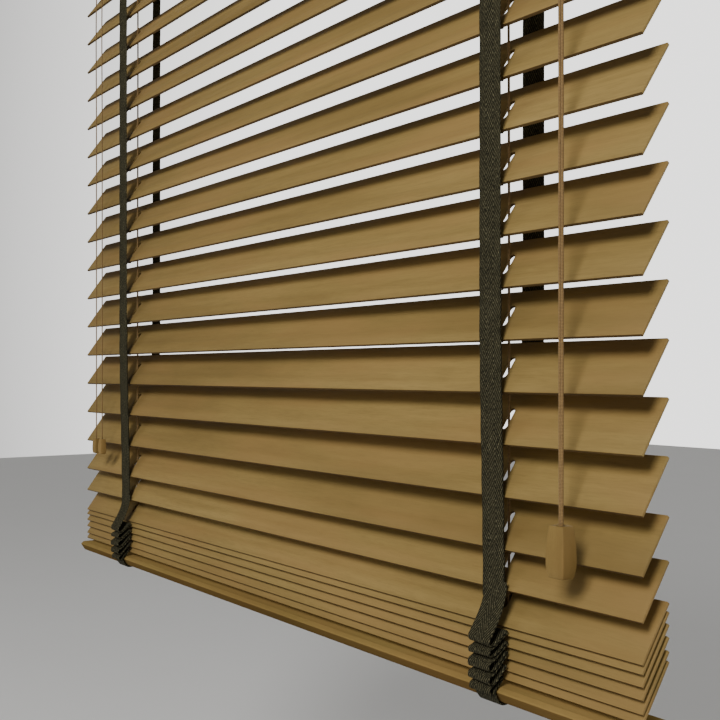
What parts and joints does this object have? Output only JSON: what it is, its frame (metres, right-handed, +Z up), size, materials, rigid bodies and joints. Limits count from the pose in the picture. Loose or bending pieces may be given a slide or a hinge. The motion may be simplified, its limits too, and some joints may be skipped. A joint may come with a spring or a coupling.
{
  "type": "venetian blind",
  "caption": "Wooden venetian blind, partly raised, with tilting slats on woven ladder tapes, a bottom rail, a head rail with cord tilter and cord lock, and wooden tassels.",
  "frame": {"origin": "middle of the plane that the brackets are screwed up to, midway between the slats' ends and on the slats' centre line", "axes": "+X along the slats to the right as seen from the room, +Y towards the window, +Z up"},
  "size_m": [1.036, 0.0738, 0.9037],
  "materials": {
    "slat_wood": "stained and satin lacquered",
    "rail_wood": "stained and satin lacquered",
    "tassel_wood": "stained and satin lacquered",
    "painted_steel": "baked enamel on rolled steel",
    "plated_steel": "zinc plated",
    "moulded_plastic": "moulded, tan",
    "woven_tape": "herringbone weave, dark olive",
    "braided_cord": "braided, golden brown"
  },
  "bodies": {
    "headrail": {"headrail": "painted_steel", "bracket_left": "plated_steel", "bracket_right": "plated_steel", "valance": "rail_wood", "tilter_housing": "moulded_plastic", "shaft_bearing": "moulded_plastic", "cord_lock_body": "plated_steel", "lift_cord_left": "braided_cord", "lift_cord_right": "braided_cord", "tilt_cord": "braided_cord"},
    "tilt_shaft": {"tilt_shaft": "plated_steel", "tilter_gear": "moulded_plastic", "ladder_drum_left": "moulded_plastic", "ladder_drum_right": "moulded_plastic"},
    "tilt_worm": {"tilter_worm": "moulded_plastic"},
    "front_tapes": {"tape_front_left": "woven_tape", "tape_front_right": "woven_tape"},
    "back_tapes": {"tape_back_left": "woven_tape", "tape_back_right": "woven_tape"},
    "bottom_rail": {"bottom_rail": "rail_wood", "rail_plug_left": "moulded_plastic", "rail_plug_right": "moulded_plastic"},
    "lift_tassel": {"lift_tassel": "tassel_wood"},
    "tilt_tassel_left": {"tilt_tassel_left": "tassel_wood"},
    "tilt_tassel_right": {"tilt_tassel_right": "tassel_wood"},
    "lock_pawl": {"cord_lock_pawl": "plated_steel"},
    "bracket_door_left": {"bracket_door_left": "plated_steel"},
    "bracket_door_right": {"bracket_door_right": "plated_steel"},
    "ladder_fold_1": {"tape_fold_left_1": "woven_tape"},
    "ladder_fold_2": {"tape_fold_left_2": "woven_tape"},
    "ladder_fold_3": {"tape_fold_left_3": "woven_tape"},
    "ladder_fold_4": {"tape_fold_left_4": "woven_tape"},
    "ladder_fold_5": {"tape_fold_left_5": "woven_tape"},
    "ladder_fold_6": {"tape_fold_left_6": "woven_tape"},
    "ladder_fold_7": {"tape_fold_left_7": "woven_tape", "tape_folds_right": "woven_tape"},
    "slat_01": {"slat_01": "slat_wood"},
    "slat_02": {"slat_02": "slat_wood"},
    "slat_03": {"slat_03": "slat_wood"},
    "slat_04": {"slat_04": "slat_wood"},
    "slat_05": {"slat_05": "slat_wood"},
    "slat_06": {"slat_06": "slat_wood"},
    "slat_07": {"slat_07": "slat_wood"},
    "slat_08": {"slat_08": "slat_wood"},
    "slat_09": {"slat_09": "slat_wood"},
    "slat_10": {"slat_10": "slat_wood"},
    "slat_11": {"slat_11": "slat_wood"},
    "slat_12": {"slat_12": "slat_wood"},
    "slat_13": {"slat_13": "slat_wood"},
    "slat_14": {"slat_14": "slat_wood"},
    "slat_15": {"slat_15": "slat_wood"},
    "slat_16": {"slat_16": "slat_wood"},
    "slat_17": {"slat_17": "slat_wood"},
    "slat_18": {"slat_18": "slat_wood"},
    "slat_19": {"slat_19": "slat_wood"},
    "slat_20": {"slat_20": "slat_wood"},
    "slat_21": {"slat_21": "slat_wood"},
    "slat_22": {"slat_22": "slat_wood"},
    "slat_23": {"slat_23": "slat_wood"},
    "slat_24": {"slat_24": "slat_wood"}
  },
  "joints": [
    {"name": "tilt", "type": "hinge", "parent": "headrail", "child": "tilt_shaft", "pos_m": [0, 0, -0.0265], "axis": [1, 0, 0], "range_deg": [-118, 10], "deforming": ["tilt_cord"]},
    {"name": "lift", "type": "slide", "parent": "headrail", "child": "bottom_rail", "axis": [0, 0, 1], "range_m": [-0.208, 0], "deforming": ["lift_cord_left", "lift_cord_right", "tape_fold_left_1", "tape_fold_left_2", "tape_fold_left_3", "tape_fold_left_4", "tape_fold_left_5", "tape_fold_left_6", "tape_fold_left_7", "tape_folds_right"]},
    {"name": "worm_turn", "type": "hinge", "parent": "headrail", "child": "tilt_worm", "pos_m": [-0.425, 0, -0.0132], "axis": [0, 1, 0], "range_deg": [-80.5, 944.5]},
    {"name": "front_tape_arc", "type": "hinge", "parent": "tilt_shaft", "child": "front_tapes", "pos_m": [0, -0.01469, -0.04673], "axis": [1, 0, 0], "range_deg": [-10.5, 118.5]},
    {"name": "back_tape_arc", "type": "hinge", "parent": "tilt_shaft", "child": "back_tapes", "pos_m": [0, 0.01469, -0.00628], "axis": [1, 0, 0], "range_deg": [-10.5, 118.5]},
    {"name": "lift_tassel_rise", "type": "slide", "parent": "headrail", "child": "lift_tassel", "axis": [0, 0, 1], "range_m": [-0.0005, 0.2085]},
    {"name": "left_tassel_pull", "type": "slide", "parent": "headrail", "child": "tilt_tassel_left", "axis": [0, 0, 1], "range_m": [-0.015, 0.1735]},
    {"name": "right_tassel_pull", "type": "slide", "parent": "headrail", "child": "tilt_tassel_right", "axis": [0, 0, 1], "range_m": [-0.1735, 0.015]},
    {"name": "lock_release", "type": "hinge", "parent": "headrail", "child": "lock_pawl", "pos_m": [0, -0.003, -0.04], "axis": [1, 0, 0], "range_deg": [0, 22]},
    {"name": "door_left_slide", "type": "slide", "parent": "headrail", "child": "bracket_door_left", "axis": [0, 0, 1], "range_m": [-0.04, 0]},
    {"name": "door_right_slide", "type": "slide", "parent": "headrail", "child": "bracket_door_right", "axis": [0, 0, 1], "range_m": [-0.04, 0]},
    {"name": "slat_01_turn", "type": "hinge", "parent": "headrail", "child": "slat_01", "pos_m": [0, 0, -0.084], "axis": [1, 0, 0], "range_deg": [-118.5, 10.5]},
    {"name": "slat_02_turn", "type": "hinge", "parent": "headrail", "child": "slat_02", "pos_m": [0, 0, -0.1263], "axis": [1, 0, 0], "range_deg": [-118.5, 10.5]},
    {"name": "slat_03_turn", "type": "hinge", "parent": "headrail", "child": "slat_03", "pos_m": [0, 0, -0.1686], "axis": [1, 0, 0], "range_deg": [-118.5, 10.5]},
    {"name": "slat_04_turn", "type": "hinge", "parent": "headrail", "child": "slat_04", "pos_m": [0, 0, -0.2109], "axis": [1, 0, 0], "range_deg": [-118.5, 10.5]},
    {"name": "slat_05_turn", "type": "hinge", "parent": "headrail", "child": "slat_05", "pos_m": [0, 0, -0.2532], "axis": [1, 0, 0], "range_deg": [-118.5, 10.5]},
    {"name": "slat_06_turn", "type": "hinge", "parent": "headrail", "child": "slat_06", "pos_m": [0, 0, -0.2955], "axis": [1, 0, 0], "range_deg": [-118.5, 10.5]},
    {"name": "slat_07_turn", "type": "hinge", "parent": "headrail", "child": "slat_07", "pos_m": [0, 0, -0.3378], "axis": [1, 0, 0], "range_deg": [-118.5, 10.5]},
    {"name": "slat_08_turn", "type": "hinge", "parent": "headrail", "child": "slat_08", "pos_m": [0, 0, -0.3801], "axis": [1, 0, 0], "range_deg": [-118.5, 10.5]},
    {"name": "slat_09_turn", "type": "hinge", "parent": "headrail", "child": "slat_09", "pos_m": [0, 0, -0.4224], "axis": [1, 0, 0], "range_deg": [-118.5, 10.5]},
    {"name": "slat_10_turn", "type": "hinge", "parent": "headrail", "child": "slat_10", "pos_m": [0, 0, -0.4647], "axis": [1, 0, 0], "range_deg": [-118.5, 10.5]},
    {"name": "slat_11_turn", "type": "hinge", "parent": "headrail", "child": "slat_11", "pos_m": [0, 0, -0.507], "axis": [1, 0, 0], "range_deg": [-118.5, 10.5]},
    {"name": "slat_12_turn", "type": "hinge", "parent": "headrail", "child": "slat_12", "pos_m": [0, 0, -0.5493], "axis": [1, 0, 0], "range_deg": [-118.5, 10.5]},
    {"name": "slat_13_turn", "type": "hinge", "parent": "headrail", "child": "slat_13", "pos_m": [0, 0, -0.5916], "axis": [1, 0, 0], "range_deg": [-118.5, 10.5]},
    {"name": "slat_14_turn", "type": "hinge", "parent": "headrail", "child": "slat_14", "pos_m": [0, 0, -0.6339], "axis": [1, 0, 0], "range_deg": [-118.5, 10.5]},
    {"name": "slat_15_turn", "type": "hinge", "parent": "headrail", "child": "slat_15", "pos_m": [0, 0, -0.6762], "axis": [1, 0, 0], "range_deg": [-118.5, 10.5]},
    {"name": "slat_16_turn", "type": "hinge", "parent": "headrail", "child": "slat_16", "pos_m": [0, 0, -0.7185], "axis": [1, 0, 0], "range_deg": [-118.5, 10.5]},
    {"name": "slat_17_turn", "type": "hinge", "parent": "headrail", "child": "slat_17", "pos_m": [0, 0, -0.7608], "axis": [1, 0, 0], "range_deg": [-118.5, 10.5]},
    {"name": "ladder_fold_1_drop", "type": "slide", "parent": "headrail", "child": "ladder_fold_1", "axis": [0, 0, 1], "range_m": [-0.0106, 0.0005]},
    {"name": "slat_18_turn", "type": "hinge", "parent": "ladder_fold_1", "child": "slat_18", "pos_m": [0, 0, -0.793], "axis": [1, 0, 0], "range_deg": [-118.5, 10.5]},
    {"name": "ladder_fold_2_drop", "type": "slide", "parent": "headrail", "child": "ladder_fold_2", "axis": [0, 0, 1], "range_m": [-0.0233, 0.0005]},
    {"name": "slat_19_turn", "type": "hinge", "parent": "ladder_fold_2", "child": "slat_19", "pos_m": [0, 0, -0.8226], "axis": [1, 0, 0], "range_deg": [-118.5, 10.5]},
    {"name": "ladder_fold_3_drop", "type": "slide", "parent": "headrail", "child": "ladder_fold_3", "axis": [0, 0, 1], "range_m": [-0.0589, 0.0005]},
    {"name": "slat_20_turn", "type": "hinge", "parent": "ladder_fold_3", "child": "slat_20", "pos_m": [0, 0, -0.8293], "axis": [1, 0, 0], "range_deg": [-118.5, 10.5]},
    {"name": "ladder_fold_4_drop", "type": "slide", "parent": "headrail", "child": "ladder_fold_4", "axis": [0, 0, 1], "range_m": [-0.0923, 0.0005]},
    {"name": "slat_21_turn", "type": "hinge", "parent": "ladder_fold_4", "child": "slat_21", "pos_m": [0, 0, -0.8382], "axis": [1, 0, 0], "range_deg": [-118.5, 10.5]},
    {"name": "ladder_fold_5_drop", "type": "slide", "parent": "headrail", "child": "ladder_fold_5", "axis": [0, 0, 1], "range_m": [-0.1254, 0.0005]},
    {"name": "slat_22_turn", "type": "hinge", "parent": "ladder_fold_5", "child": "slat_22", "pos_m": [0, 0, -0.8474], "axis": [1, 0, 0], "range_deg": [-118.5, 10.5]},
    {"name": "ladder_fold_6_drop", "type": "slide", "parent": "headrail", "child": "ladder_fold_6", "axis": [0, 0, 1], "range_m": [-0.1577, 0.0005]},
    {"name": "slat_23_turn", "type": "hinge", "parent": "ladder_fold_6", "child": "slat_23", "pos_m": [0, 0, -0.8574], "axis": [1, 0, 0], "range_deg": [-118.5, 10.5]},
    {"name": "ladder_fold_7_drop", "type": "slide", "parent": "headrail", "child": "ladder_fold_7", "axis": [0, 0, 1], "range_m": [-0.1926, 0.0005]},
    {"name": "slat_24_turn", "type": "hinge", "parent": "ladder_fold_7", "child": "slat_24", "pos_m": [0, 0, -0.8648], "axis": [1, 0, 0], "range_deg": [-118.5, 10.5]}
  ],
  "couplings": [
    {"joint": "worm_turn", "follows": "tilt", "ratio": -8},
    {"joint": "front_tape_arc", "follows": "tilt", "ratio": -1},
    {"joint": "back_tape_arc", "follows": "tilt", "ratio": -1},
    {"joint": "left_tassel_pull", "follows": "tilt", "m_per_rad": -0.084},
    {"joint": "right_tassel_pull", "follows": "tilt", "m_per_rad": 0.084},
    {"joint": "lift_tassel_rise", "follows": "lift", "ratio": -1},
    {"joint": "slat_01_turn", "follows": "tilt", "ratio": 1},
    {"joint": "slat_02_turn", "follows": "tilt", "ratio": 1},
    {"joint": "slat_03_turn", "follows": "tilt", "ratio": 1},
    {"joint": "slat_04_turn", "follows": "tilt", "ratio": 1},
    {"joint": "slat_05_turn", "follows": "tilt", "ratio": 1},
    {"joint": "slat_06_turn", "follows": "tilt", "ratio": 1},
    {"joint": "slat_07_turn", "follows": "tilt", "ratio": 1},
    {"joint": "slat_08_turn", "follows": "tilt", "ratio": 1},
    {"joint": "slat_09_turn", "follows": "tilt", "ratio": 1},
    {"joint": "slat_10_turn", "follows": "tilt", "ratio": 1},
    {"joint": "slat_11_turn", "follows": "tilt", "ratio": 1},
    {"joint": "slat_12_turn", "follows": "tilt", "ratio": 1},
    {"joint": "slat_13_turn", "follows": "tilt", "ratio": 1},
    {"joint": "slat_14_turn", "follows": "tilt", "ratio": 1},
    {"joint": "slat_15_turn", "follows": "tilt", "ratio": 1},
    {"joint": "slat_16_turn", "follows": "tilt", "ratio": 1},
    {"joint": "slat_17_turn", "follows": "tilt", "ratio": 1},
    {"joint": "ladder_fold_1_drop", "follows": "lift", "ratio": 0.048558},
    {"joint": "slat_18_turn", "follows": "tilt", "ratio": 1},
    {"joint": "ladder_fold_2_drop", "follows": "lift", "ratio": 0.10962},
    {"joint": "slat_19_turn", "follows": "tilt", "ratio": 1},
    {"joint": "ladder_fold_3_drop", "follows": "lift", "ratio": 0.28077},
    {"joint": "slat_20_turn", "follows": "tilt", "ratio": 1},
    {"joint": "ladder_fold_4_drop", "follows": "lift", "ratio": 0.44135},
    {"joint": "slat_21_turn", "follows": "tilt", "ratio": 1},
    {"joint": "ladder_fold_5_drop", "follows": "lift", "ratio": 0.60048},
    {"joint": "slat_22_turn", "follows": "tilt", "ratio": 1},
    {"joint": "ladder_fold_6_drop", "follows": "lift", "ratio": 0.75577},
    {"joint": "slat_23_turn", "follows": "tilt", "ratio": 1},
    {"joint": "ladder_fold_7_drop", "follows": "lift", "ratio": 0.92356},
    {"joint": "slat_24_turn", "follows": "tilt", "ratio": 1}
  ]
}
